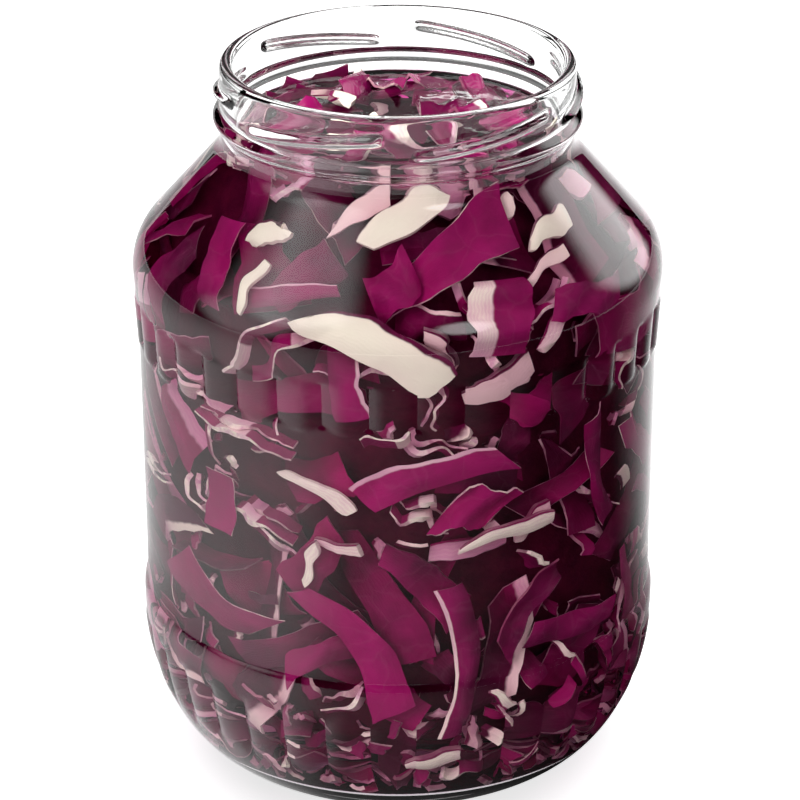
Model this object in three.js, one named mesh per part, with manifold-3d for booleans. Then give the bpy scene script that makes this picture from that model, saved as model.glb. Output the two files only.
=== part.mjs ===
// Canning jar of clear glass, open at the mouth and packed with shredded red cabbage.
// Millimetres, +Z up. The origin is the centre of the ring that the jar stands on, and -Y is its front.
import * as THREE from "three";
import { mergeVertices } from "three/addons/utils/BufferGeometryUtils.js";
import Module from "manifold-3d";

// Glass: heights and outer radii
const JAR_HEIGHT = 197;
const BODY_RADIUS = 71.5;
const LABEL_RADIUS = 70.4;
const FOOT_RADIUS = 49.5;
const FOOT_WIDTH = 4;
const PUSH_UP = 4;
const HEEL_HEIGHT = 43;
const LABEL_BOTTOM = 47.5;
const LABEL_TOP = 119.4;
const SHOULDER_START = 140.4;
const SHOULDER_ARC = 16;
const SHOULDER_TURN = THREE.MathUtils.degToRad(41.5);
const NECK_RADIUS = 47;

// Glass: wall and floor
const WALL = 3.2;
const MOUTH_RADIUS = 43.4;
const FLOOR_CENTRE = 9.5;
const FLOOR_EDGE = 7;
const LIP_HALF = (NECK_RADIUS - MOUTH_RADIUS) / 2;

// Glass: closure finish, a bead under a six-start thread
const FINISH_RADIUS = 49;
const BEAD_HEIGHT = 182.2;
const BEAD_HALF = 2.5;
const THREAD_STARTS = 6;
const THREAD_HIGH_ANGLE = THREE.MathUtils.degToRad(55.8);
const THREAD_SPAN = THREE.MathUtils.degToRad(52);
const THREAD_HIGH = 191.2;
const THREAD_LOW = 186.4;
const THREAD_HALF = 1.5;
const THREAD_SINK = 0.8;
const THREAD_ROOT = 1.2;

// Glass: two bands of convex panels with a sharp valley between neighbours
const PANELS = 36;
const PANEL_PHASE = THREE.MathUtils.degToRad(4);
const PANEL_RISE = 0.9;
const UPPER_BAND = [LABEL_TOP, 134.4];
const LOWER_BAND = [16, 38.4];
const GLASS_SEGMENTS = 2 * PANELS;

// Cabbage: a core with the shreds that show fused on
const GLASS_GAP = 0.6;
const CORE_DEPTH = 2.4;
const CORE_TOP = 179;
const CORE_SWELL = 0.8;
const CORE_SEGMENTS = 24;
const SHRED_THICKNESS = 1.3;
const SHRED_STEPS = 3;
const SHRED_ROWS = 8;
const SHREDS_PER_ROW = 10;
const SHRED_LENGTH = [24, 42];
const SHRED_WIDTH = [8, 14];
const TOP_SHREDS = 12;
const TOP_REACH = 31;
const TOP_RISE = [3.5, 7.5];
const TOP_LENGTH = [14, 24];
const TOP_WIDTH = [6, 10];
const SEED = 7;

// Edges shorter than this are closed up after joining
const SLIVER = 0.06;

const GLASS_COLOUR = 0xe8f2ee;
const CABBAGE_COLOUR = 0x7d1458;

const wasm = await Module();
wasm.setup();

// A repeatable stream of numbers from 0 to 1.
function randomStream(seed) {
  let state = seed >>> 0;
  return () => {
    state = (state + 0x6d2b79f5) >>> 0;
    let mixed = Math.imul(state ^ (state >>> 15), 1 | state);
    mixed = (mixed + Math.imul(mixed ^ (mixed >>> 7), 61 | mixed)) ^ mixed;
    return ((mixed ^ (mixed >>> 14)) >>> 0) / 4294967296;
  };
}

// A closed geometry as a solid that can be joined and cut.
function toSolid(geometry) {
  const bare = geometry.index ? geometry.toNonIndexed() : geometry.clone();
  bare.deleteAttribute("normal");
  bare.deleteAttribute("uv");
  const merged = mergeVertices(bare, 1e-4);
  return new wasm.Manifold(
    new wasm.Mesh({
      numProp: 3,
      vertProperties: new Float32Array(merged.attributes.position.array),
      triVerts: new Uint32Array(merged.index.array),
    }),
  );
}

// The largest body of a joined solid, with any sealed hollow filled and any loose scrap dropped.
function oneBody(solid) {
  return solid.decompose().reduce((most, body) => (body.volume() > most.volume() ? body : most));
}

// A joined solid as a geometry, without the slivers that joining leaves.
function toGeometry(solid) {
  const mesh = oneBody(solid.asOriginal().simplify(SLIVER)).getMesh();
  const geometry = new THREE.BufferGeometry();
  geometry.setAttribute("position", new THREE.BufferAttribute(mesh.vertProperties, 3));
  geometry.setIndex(new THREE.BufferAttribute(mesh.triVerts, 1));
  geometry.computeVertexNormals();
  return geometry;
}

// Moves every vertex of a geometry by a function of its place.
function reshape(geometry, move) {
  const places = geometry.attributes.position;
  const place = new THREE.Vector3();
  for (let i = 0; i < places.count; i++) {
    place.fromBufferAttribute(places, i);
    move(place);
    places.setXYZ(i, place.x, place.y, place.z);
  }
  return geometry;
}

// Points along an elliptical arc of a profile, in (radius, height).
function arc(radius, height, across, up, from, to, steps) {
  return Array.from({ length: steps + 1 }, (unused, i) => {
    const angle = from + ((to - from) * i) / steps;
    return new THREE.Vector2(radius + across * Math.cos(angle), height + up * Math.sin(angle));
  });
}

const point = (radius, height) => new THREE.Vector2(radius, height);

// The shoulder, an arc that runs into a cone and stops at the neck, set in by some of the wall.
function shoulder(inset, neck, steps) {
  const centre = BODY_RADIUS - SHOULDER_ARC;
  const size = SHOULDER_ARC - inset;
  const bend = arc(centre, SHOULDER_START, size, size, 0, SHOULDER_TURN, steps);
  const end = bend[bend.length - 1];
  const slope = Math.tan(SHOULDER_TURN);
  const rise = (end.x - neck) / slope;
  const fillet = 0.1 * rise;
  return [
    ...bend,
    point(neck + fillet * slope, end.y + rise - fillet),
    point(neck, end.y + rise + fillet),
  ];
}

// Outside of the glass, from the middle of the base up to the lip.
function outerProfile() {
  const quarter = Math.PI / 2;
  const heelReach = BODY_RADIUS - FOOT_RADIUS;
  const beadRise = FINISH_RADIUS - NECK_RADIUS;
  return [
    point(0, PUSH_UP),
    point(FOOT_RADIUS - FOOT_WIDTH - 1.5, 1),
    point(FOOT_RADIUS - FOOT_WIDTH, 0),
    ...arc(FOOT_RADIUS, HEEL_HEIGHT, heelReach, HEEL_HEIGHT, -quarter, 0, 7),
    point(BODY_RADIUS - 0.15, LABEL_BOTTOM - 2),
    point(LABEL_RADIUS, LABEL_BOTTOM),
    point(LABEL_RADIUS, UPPER_BAND[0]),
    point(LABEL_RADIUS, UPPER_BAND[0] + 1.6),
    point(LABEL_RADIUS + 0.4, UPPER_BAND[1] - 1.2),
    point(LABEL_RADIUS + 0.7, UPPER_BAND[1]),
    ...shoulder(0, NECK_RADIUS, 3),
    ...arc(NECK_RADIUS, BEAD_HEIGHT, beadRise, BEAD_HALF, -quarter, quarter, 4),
    ...arc(NECK_RADIUS - LIP_HALF, JAR_HEIGHT - LIP_HALF, LIP_HALF, LIP_HALF, 0, quarter, 2),
  ];
}

// Inside of the glass, from the middle of the floor up to the lip, set in further where asked.
function innerProfile(inset = 0) {
  const floorReach = FOOT_RADIUS - 1;
  const heelReach = BODY_RADIUS - WALL - floorReach;
  const heelRise = HEEL_HEIGHT - FLOOR_EDGE;
  return [
    point(0, FLOOR_CENTRE + inset),
    ...arc(floorReach, HEEL_HEIGHT, heelReach - inset, heelRise - inset, -Math.PI / 2, 0, 4),
    point(LABEL_RADIUS - WALL - inset, LABEL_BOTTOM + 2),
    point(LABEL_RADIUS - WALL - inset, LABEL_TOP),
    ...shoulder(WALL + inset, MOUTH_RADIUS - inset, 2),
    point(MOUTH_RADIUS - inset, JAR_HEIGHT - LIP_HALF),
  ];
}

function lathe(profile, segments) {
  const turned = new THREE.LatheGeometry(profile, segments);
  turned.rotateX(Math.PI / 2);
  return turned;
}

// 1 along a panel's crest and 0 in the valley beside it, for an angle from the front towards +X.
function panelCrest(angle) {
  const turn = ((angle - PANEL_PHASE) / (2 * Math.PI)) * PANELS;
  const across = turn - Math.floor(turn);
  return 1 - Math.abs(2 * across - 1) ** 2;
}

const frontAngle = (place) => Math.atan2(place.x, -place.y);
const inBand = (height, band) => height > band[0] + 0.5 && height < band[1] - 0.5;

// Radius of the outside at a height below the shoulder.
function outerRadius(height) {
  if (height > HEEL_HEIGHT) return LABEL_RADIUS;
  const drop = 1 - height / HEEL_HEIGHT;
  return FOOT_RADIUS + (BODY_RADIUS - FOOT_RADIUS) * Math.sqrt(1 - drop * drop);
}

// Raises the panels of both bands on the outside of the glass.
function raisePanels(place) {
  if (!inBand(place.z, UPPER_BAND) && !inBand(place.z, LOWER_BAND)) return;
  const radius = Math.hypot(place.x, place.y);
  if (radius < outerRadius(place.z) - 0.5 * WALL) return;
  const sunk = PANEL_RISE * (panelCrest(frontAngle(place)) - 0.6);
  const share = 1 + sunk / radius;
  place.x *= share;
  place.y *= share;
}

// One start of the thread: a full-bodied bump wrapped round the neck, high end first.
function threadGeometry(start) {
  const bump = new THREE.SphereGeometry(1, 8, 10);
  return reshape(bump, (place) => {
    const along = Math.sign(place.y) * (1 - (1 - Math.abs(place.y)) ** 2);
    const angle = start - THREAD_SPAN / 2 + (along * THREAD_SPAN) / 2;
    const middle = THREE.MathUtils.lerp(THREAD_LOW, THREAD_HIGH, (along + 1) / 2);
    const height = middle + place.z * THREAD_HALF;
    const reach = place.x > 0 ? FINISH_RADIUS - NECK_RADIUS + THREAD_SINK : THREAD_ROOT;
    const radius = NECK_RADIUS - THREAD_SINK + place.x * reach;
    place.set(radius * Math.sin(angle), -radius * Math.cos(angle), height);
  });
}

function glassJar() {
  const profile = [...outerProfile(), ...innerProfile().reverse()];
  const wall = lathe(profile, GLASS_SEGMENTS);
  wall.rotateZ(PANEL_PHASE);
  let jar = toSolid(reshape(wall, raisePanels));
  for (let i = 0; i < THREAD_STARTS; i++) {
    const start = THREAD_HIGH_ANGLE + (i * 2 * Math.PI) / THREAD_STARTS;
    jar = jar.add(toSolid(threadGeometry(start)));
  }
  return toGeometry(jar);
}

// The inside wall as a curve by arc length, for laying shreds along it.
const wallCurve = new THREE.CurvePath();
innerProfile().reduce((from, to) => {
  wallCurve.add(new THREE.LineCurve(from, to));
  return to;
});
const WALL_LENGTH = wallCurve.getLength();

// A place against the wall: way along the profile from the floor's middle, angle, and depth inwards.
function againstWall(along, angle, depth) {
  const share = THREE.MathUtils.clamp(along / WALL_LENGTH, 0, 1);
  const spot = wallCurve.getPointAt(share);
  const way = wallCurve.getTangentAt(share);
  const radius = spot.x - way.y * depth;
  const height = spot.y + way.x * depth;
  return new THREE.Vector3(radius * Math.sin(angle), -radius * Math.cos(angle), height);
}

// A strip of leaf. place(s, t, d) gives the spot at s along, t across and d through it, all from -1 to 1.
function shredGeometry(place) {
  const corners = [[-1, -1], [1, -1], [1, 1], [-1, 1]];
  const spots = [];
  const faces = [];
  for (let i = 0; i <= SHRED_STEPS; i++) {
    const s = (2 * i) / SHRED_STEPS - 1;
    corners.forEach(([t, d]) => spots.push(...place(s, t, d).toArray()));
    if (i === 0) continue;
    corners.forEach((unused, k) => {
      const [a, b] = [4 * (i - 1) + k, 4 * (i - 1) + ((k + 1) % 4)];
      faces.push(a, b, b + 4, a, b + 4, a + 4);
    });
  }
  const last = 4 * SHRED_STEPS;
  faces.push(0, 2, 1, 0, 3, 2, last, last + 1, last + 2, last, last + 2, last + 3);
  const strip = new THREE.BufferGeometry();
  strip.setAttribute("position", new THREE.Float32BufferAttribute(spots, 3));
  strip.setIndex(faces);
  return strip;
}

// Turns a solid the right way out, whichever way its strip was laid.
function outward(geometry) {
  const solid = toSolid(geometry);
  if (solid.volume() > 0) return solid;
  const turned = geometry.clone();
  turned.setIndex(Array.from(geometry.index.array).reverse());
  return toSolid(turned);
}

const between = (range, share) => THREE.MathUtils.lerp(range[0], range[1], share);

// A shred bowed out from the core to the glass, its ends buried in the core.
function wallShred(random, along, angle) {
  const lay = (random() - 0.5) * 2.6;
  const length = between(SHRED_LENGTH, random());
  const width = between(SHRED_WIDTH, random());
  const skew = (random() - 0.5) * 0.9;
  const tip = (random() - 0.5) * 1.6;
  const spread = againstWall(along, angle, 0).setZ(0).length();
  const least = GLASS_GAP + SHRED_THICKNESS / 2;
  return outward(
    shredGeometry((s, t, d) => {
      const forward = (s * length) / 2 + (t * width * skew) / 2;
      const sideways = (t * width) / 2;
      const bow = CORE_DEPTH + 0.7 - (CORE_DEPTH - least) * Math.cos((s * Math.PI) / 2);
      const depth = Math.max(bow + tip * t * (1 - Math.abs(s)), least);
      const turn = (forward * Math.cos(lay) - sideways * Math.sin(lay)) / spread;
      const climb = forward * Math.sin(lay) + sideways * Math.cos(lay);
      return againstWall(along + climb, angle + turn, depth + (d * SHRED_THICKNESS) / 2);
    }),
  );
}

// A shred that stands out of the top of the heap, one end buried.
function topShred(random, radius, angle) {
  const lay = random() * 2 * Math.PI;
  const length = between(TOP_LENGTH, random());
  const width = between(TOP_WIDTH, random());
  const rise = between(TOP_RISE, random());
  const lean = (random() - 0.5) * 5;
  const curl = random() * 2;
  const centre = new THREE.Vector3(radius * Math.sin(angle), -radius * Math.cos(angle), CORE_TOP);
  return outward(
    shredGeometry((s, t, d) => {
      const forward = (s * length) / 2;
      const sideways = (t * width) / 2;
      const climb = -1.2 + (rise * (s + 1)) / 2 - curl * s * s;
      const lift = climb + 0.3 * lean * t + (d * SHRED_THICKNESS) / 2;
      const spot = new THREE.Vector3(
        forward * Math.cos(lay) - sideways * Math.sin(lay),
        forward * Math.sin(lay) + sideways * Math.cos(lay),
        lift,
      ).add(centre);
      const reach = Math.hypot(spot.x, spot.y);
      const most = MOUTH_RADIUS - GLASS_GAP - 0.6;
      if (reach > most) spot.multiply(new THREE.Vector3(most / reach, most / reach, 1));
      return spot;
    }),
  );
}

// The body of the heap: the inside of the jar set in from the glass, with an uneven skin and a flat top.
function heapCore() {
  const profile = innerProfile(CORE_DEPTH).filter((spot) => spot.y < CORE_TOP);
  profile.push(point(MOUTH_RADIUS - CORE_DEPTH, CORE_TOP), point(0, CORE_TOP));
  const skin = reshape(lathe(profile, CORE_SEGMENTS), (place) => {
    const radius = Math.hypot(place.x, place.y);
    if (radius < 1) return;
    const angle = frontAngle(place);
    const swell = Math.sin(5 * angle + place.z / 9) * Math.sin(place.z / 13 + 2 * angle);
    const share = 1 + (CORE_SWELL * swell) / radius;
    place.set(place.x * share, place.y * share, place.z);
  });
  return toSolid(skin);
}

function cabbageHeap() {
  const random = randomStream(SEED);
  const shreds = [];
  for (let row = 0; row < SHRED_ROWS; row++) {
    const along = WALL_LENGTH * (0.2 + (0.66 * (row + 0.5)) / SHRED_ROWS);
    for (let i = 0; i < SHREDS_PER_ROW; i++) {
      const angle = ((i + 0.5 * (row % 2) + 0.6 * (random() - 0.5)) / SHREDS_PER_ROW) * 2 * Math.PI;
      shreds.push(wallShred(random, along + 8 * (random() - 0.5), angle));
    }
  }
  for (let i = 0; i < TOP_SHREDS; i++) {
    const radius = TOP_REACH * Math.sqrt((i + 0.5) / TOP_SHREDS);
    const golden = i * Math.PI * (3 - Math.sqrt(5));
    shreds.push(topShred(random, radius, golden));
  }
  return toGeometry(wasm.Manifold.union([heapCore(), ...shreds]));
}

function part(name, geometry, finish) {
  const mesh = new THREE.Mesh(geometry, new THREE.MeshStandardMaterial(finish));
  mesh.name = name;
  return mesh;
}

const glassFinish = {
  color: GLASS_COLOUR,
  roughness: 0.03,
  metalness: 0,
  transparent: true,
  opacity: 0.35,
};
const cabbageFinish = { color: CABBAGE_COLOUR, roughness: 0.4, metalness: 0 };

const jar = new THREE.Group();
jar.add(part("glass_jar", glassJar(), glassFinish));
jar.add(part("cabbage_heap", cabbageHeap(), cabbageFinish));

export default jar;
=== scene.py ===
"""An open canning jar of clear glass, packed with shredded red cabbage in its brine."""

import math

import bpy
import numpy as np
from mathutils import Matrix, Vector


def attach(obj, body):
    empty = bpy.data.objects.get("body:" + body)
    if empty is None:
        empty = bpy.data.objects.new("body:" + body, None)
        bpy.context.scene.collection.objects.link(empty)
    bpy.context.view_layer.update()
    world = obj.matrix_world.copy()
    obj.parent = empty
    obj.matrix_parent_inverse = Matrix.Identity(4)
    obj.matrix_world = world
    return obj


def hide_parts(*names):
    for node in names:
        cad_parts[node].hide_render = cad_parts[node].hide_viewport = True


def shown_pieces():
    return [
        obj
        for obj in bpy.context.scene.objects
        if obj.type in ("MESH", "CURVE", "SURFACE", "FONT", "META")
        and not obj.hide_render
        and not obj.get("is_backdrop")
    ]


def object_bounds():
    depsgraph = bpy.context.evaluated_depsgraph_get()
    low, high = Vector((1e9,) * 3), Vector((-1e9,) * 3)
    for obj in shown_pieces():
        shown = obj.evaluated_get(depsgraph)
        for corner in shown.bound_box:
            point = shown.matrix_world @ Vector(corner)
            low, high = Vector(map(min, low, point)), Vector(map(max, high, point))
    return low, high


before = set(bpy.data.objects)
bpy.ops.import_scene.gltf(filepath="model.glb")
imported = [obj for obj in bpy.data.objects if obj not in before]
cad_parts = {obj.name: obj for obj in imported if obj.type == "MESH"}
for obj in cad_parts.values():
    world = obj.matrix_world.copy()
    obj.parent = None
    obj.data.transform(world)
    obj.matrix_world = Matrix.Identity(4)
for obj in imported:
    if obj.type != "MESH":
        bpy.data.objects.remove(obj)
CAD_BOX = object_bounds()

bl_info = {
    "name": "Jar of red cabbage",
    "version": (1, 0, 0),
    "blender": (4, 5, 0),
    "location": "3D View > Sidebar > Jar",
    "description": "A clear canning jar packed with shredded red cabbage in brine",
    "category": "Object",
}

MM = 0.001
BODY = "root"

# The jar's turned shape, in mm.
SHOULDER_START = 140.4
SHOULDER_ARC = 16.0
SHOULDER_TURN = 41.5
HEEL_HEIGHT = 43.0
LABEL_BOTTOM = 47.5
LABEL_TOP = 119.4
PUSH_UP = 4.0
INNER_FOOT = 48.5
FLOOR_EDGE = 7.0
FLOOR_CENTRE = 9.5
LIP_RADIUS = 1.8
BEAD_AT = 182.2
BEAD_HALF = 3.3
BEAD_RISE = 2.0
NECK_ROWS = (178.6, 194.6, 0.4)
BAND_ROWS = (118.2, 136.2, 0.6)
PANEL_PHASE = 4.0
UPPER_PANELS = (119.6, 134.9)
LOWER_PANELS = (14.0, 38.6)
THREADS = 6
THREAD_START = 55.8
THREAD_SPAN = 52.0
THREAD_LOW = 186.4
THREAD_HIGH = 191.2
THREAD_HALF = 1.9
GLASS_STEPS = 360
GLASS_IOR = 1.5
BRINE_IOR = 1.34
BRINE_STEPS = 240
BRINE_BITE = 0.2
CORE_STEPS = 72
CORE_DEPTH = 13.5
CORE_TOP = 170.0
OUTER_FILLET = 2.1
INNER_FILLET = 2.2
FILLET_HEIGHT = 2.4
INSIDE_STEPS = 60
WALL_LOW = 40.0
TOP_PIECES = 150
TOP_RIB_EVERY = 9
TOP_GAP = 2.5

# Least and greatest sizes of the scattered pieces, in mm, and the bends of a ribbon.
LEAF_LONG, LEAF_WIDE = (15, 46), (6, 15)
RIB_LONG, RIB_WIDE, RIB_THICK, RIB_BOW = (8, 26), (3.5, 8.5), (1.5, 3.0), (-2.5, 2.5)
RIBBON_LONG, RIBBON_DEEP, RIBBON_WAVE, RIBBON_BEATS = (10, 34), (2.0, 5.0), (0.8, 3.2), (0.5, 1.7)
BIT_LONG, BIT_WIDE, BIT_THICK = (2.5, 9), (1.2, 5), (0.6, 1.6)
TOP_LONG, TOP_WIDE, TOP_THICK = (8, 20), (5, 11), (0.5, 1.0)

# The stage, in metres and degrees. The card is seen only in reflections, as painted dark reflections
# on the glass; its four turns are where it thins out round the jar.
FLOOR_SIZE = 8.0
CARD_SIZE = 4.0
CARD_LIFT = 0.001
CARD_TURNS = ((-110, -60), (-48, -12), (-15, 60), (95, 160))
CAMERA_SHIFT = 0.0025


# Settings


def length_setting(name, description, default):
    """A size in metres."""
    return bpy.props.FloatProperty(
        name=name, description=description, default=default, unit="LENGTH"
    )


def colour_setting(name, description, default):
    return bpy.props.FloatVectorProperty(
        name=name, description=description, default=default, subtype="COLOR", min=0.0, max=1.0
    )


def number_setting(name, description, default):
    return bpy.props.FloatProperty(name=name, description=description, default=default)


def count_setting(name, description, default):
    return bpy.props.IntProperty(name=name, description=description, default=default)


class JarGlassSettings(bpy.types.PropertyGroup):
    """Sizes and finish of the glass."""

    height: length_setting("Height", "From the base ring to the lip", CAD_BOX[1].z - CAD_BOX[0].z)
    body_radius: length_setting("Body radius", "Radius of the heel and the shoulder", 0.0715)
    label_radius: length_setting("Label radius", "Radius of the plain band in the middle", 0.0704)
    foot_radius: length_setting("Foot radius", "Outer radius of the ring it stands on", 0.0495)
    neck_radius: length_setting(
        "Neck radius", "Outer radius of the neck between its threads", 0.047
    )
    mouth_radius: length_setting("Mouth radius", "Inner radius of the open mouth", 0.0434)
    wall: length_setting("Wall", "Thickness of the glass", 0.0032)
    panels: count_setting("Panels", "Pillow panels round each band", 36)
    panel_valley: length_setting(
        "Panel valley", "How far the lines between the panels go in", 0.0009
    )
    panel_crest: length_setting("Panel crest", "How far the middle of a panel stands out", 0.0004)
    thread_rise: length_setting("Thread rise", "How far the threads stand out", 0.0019)
    tint: colour_setting("Tint", "Colour that the glass gives to light", (0.975, 0.99, 0.98))


class JarCabbageSettings(bpy.types.PropertyGroup):
    """Amounts and colours of the shredded cabbage."""

    seed: count_setting("Seed", "Another number packs the jar anew", 19)
    leaves: count_setting("Leaf strips", "Flat strips tried behind the glass", 1500)
    ribs: count_setting("Ribs", "Thick pale pieces of rib", 60)
    ribbons: count_setting("Ribbons", "Wavy strips seen on edge", 240)
    bits: count_setting("Small bits", "Crumbs, most of them low down", 900)
    dark_skin: colour_setting("Dark skin", "Darkest leaf colour", (0.062, 0.0018, 0.022))
    bright_skin: colour_setting("Bright skin", "Brightest leaf colour", (0.34, 0.007, 0.118))
    flesh: colour_setting("Flesh", "Cream inside of the ribs", (0.95, 0.87, 0.71))
    blush: colour_setting("Blush", "Flesh stained by the brine", (0.72, 0.44, 0.51))


class JarBrineSettings(bpy.types.PropertyGroup):
    """The liquid round the cabbage."""

    level: length_setting("Level", "Height of the liquid's surface", 0.18)
    colour: colour_setting("Colour", "Colour that the brine lets through", (0.84, 0.2, 0.64))
    density: number_setting("Density", "How fast the brine takes light", 55.0)


class JarStageSettings(bpy.types.PropertyGroup):
    """Floor, light and camera."""

    floor: colour_setting("Floor", "Colour of the floor", (0.9, 0.9, 0.9))
    glow: number_setting("Glow", "Light that the floor gives off itself", 0.85)
    surround: number_setting("Surround", "Strength of the even light all round", 0.12)
    camera_place: bpy.props.FloatVectorProperty(
        name="Camera",
        description="Where the camera stands",
        default=(0.0, -0.76951, 0.45776),
        subtype="TRANSLATION",
        unit="LENGTH",
    )
    camera_tilt: bpy.props.FloatProperty(
        name="Camera tilt",
        description="How far the camera looks down",
        default=math.radians(25.068),
        subtype="ANGLE",
        unit="ROTATION",
    )
    lens: number_setting("Lens", "Focal length in mm on a 36 mm sensor", 138.46)


SETTINGS = {
    "jar_glass": JarGlassSettings,
    "jar_cabbage": JarCabbageSettings,
    "jar_brine": JarBrineSettings,
    "jar_stage": JarStageSettings,
}


# Materials


class Value:
    """A socket of a shader tree that takes part in Python sums."""

    def __init__(self, finish, socket):
        self.finish = finish
        self.socket = socket

    def _sum(self, operation, first, second):
        return self.finish.node(
            "ShaderNodeMath", {"operation": operation}, {0: first, 1: second}
        )

    def __add__(self, other):
        return self._sum("ADD", self, other)

    def __radd__(self, other):
        return self._sum("ADD", other, self)

    def __sub__(self, other):
        return self._sum("SUBTRACT", self, other)

    def __rsub__(self, other):
        return self._sum("SUBTRACT", other, self)

    def __mul__(self, other):
        return self._sum("MULTIPLY", self, other)

    def __rmul__(self, other):
        return self._sum("MULTIPLY", other, self)


class Finish:
    """A material that is put together node by node."""

    def __init__(self, name):
        self.material = bpy.data.materials.new(name)
        self.material.use_nodes = True
        self.tree = self.material.node_tree
        self.tree.nodes.clear()
        self.out = self.tree.nodes.new("ShaderNodeOutputMaterial")

    def node(self, kind, settings=None, sockets=None, out=0):
        """Adds a node: its settings are set first, then its sockets, each a value or a link."""
        made = self.tree.nodes.new(kind)
        for name, value in (settings or {}).items():
            setattr(made, name, value)
        for name, value in (sockets or {}).items():
            if isinstance(value, Value):
                self.tree.links.new(value.socket, made.inputs[name])
            else:
                made.inputs[name].default_value = value
        return Value(self, made.outputs[out])

    def blend(self, share, first, second):
        """Mixes two colours."""
        return self.node(
            "ShaderNodeMix",
            {"data_type": "RGBA", "clamp_factor": True},
            {0: share, 6: first, 7: second},
            2,
        )

    def ease(self, value, low, high):
        """0 below low, 1 above high, and smooth between."""
        return self.node(
            "ShaderNodeMapRange",
            {"interpolation_type": "SMOOTHSTEP"},
            {"Value": value, "From Min": low, "From Max": high},
        )

    def noise(self, where, scale, detail=3.0, roughness=0.55):
        return self.node(
            "ShaderNodeTexNoise",
            None,
            {"Vector": where, "Scale": scale, "Detail": detail, "Roughness": roughness},
        )

    def attribute(self, name):
        return self.node("ShaderNodeAttribute", {"attribute_name": name}, None, "Fac")

    def place(self):
        return self.node("ShaderNodeTexCoord", None, None, "Object")

    def bump(self, height, strength, distance):
        return self.node(
            "ShaderNodeBump",
            None,
            {"Height": height, "Strength": strength, "Distance": distance},
        )

    def principled(self, **sockets):
        """The main shader; its sockets are named with _ for each space."""
        return self.node(
            "ShaderNodeBsdfPrincipled",
            None,
            {name.replace("_", " "): value for name, value in sockets.items()},
        )

    def surface(self, shader, lamps_pass=False):
        """Shows the shader, or for rays from lamps a clear opening."""
        if lamps_pass:
            lamps = self.node("ShaderNodeLightPath", None, None, "Is Shadow Ray")
            clear = self.node("ShaderNodeBsdfTransparent")
            shader = self.node("ShaderNodeMixShader", None, {0: lamps, 1: shader, 2: clear})
        self.tree.links.new(shader.socket, self.out.inputs["Surface"])
        return self.material

    def volume(self, shader):
        self.tree.links.new(shader.socket, self.out.inputs["Volume"])


def opaque(colour):
    return (*colour, 1.0)


def glass_finish(glass):
    """Clear pressed glass, with the faint waves of its mould."""
    f = Finish("clear glass")
    waves = f.noise(f.place(), 38.0, 2.0, 0.4)
    return f.surface(
        f.principled(
            Base_Color=opaque(glass.tint),
            Roughness=0.0,
            IOR=GLASS_IOR,
            Transmission_Weight=1.0,
            Normal=f.bump(waves, 0.06, 0.001),
        ),
        lamps_pass=True,
    )


def wetted_finish(glass):
    """The inside of the glass where brine wets it, so that it doesn't reflect."""
    f = Finish("wetted glass")
    waves = f.noise(f.place(), 45.0, 2.0, 0.4)
    return f.surface(
        f.node(
            "ShaderNodeBsdfRefraction",
            None,
            {
                "Color": opaque(glass.tint),
                "Roughness": 0.0,
                "IOR": GLASS_IOR / BRINE_IOR,
                "Normal": f.bump(waves, 0.08, 0.001),
            },
        ),
        lamps_pass=True,
    )


def brine_finish(brine):
    """Thin purple brine that takes green light first, glossy on top and lost against the glass."""
    f = Finish("purple brine")
    ripples = f.bump(f.noise(f.place(), 120.0, 2.0, 0.5), 0.25, 0.001)
    f.volume(
        f.node(
            "ShaderNodeVolumeAbsorption",
            None,
            {"Color": opaque(brine.colour), "Density": brine.density},
        )
    )
    wetting = f.node("ShaderNodeBsdfTransparent")
    gloss = f.principled(
        Base_Color=(1.0, 1.0, 1.0, 1.0),
        Roughness=0.0,
        IOR=BRINE_IOR,
        Transmission_Weight=1.0,
        Normal=ripples,
    )
    top = f.attribute("open top")
    return f.surface(
        f.node("ShaderNodeMixShader", None, {0: top, 1: wetting, 2: gloss}), lamps_pass=True
    )


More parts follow.
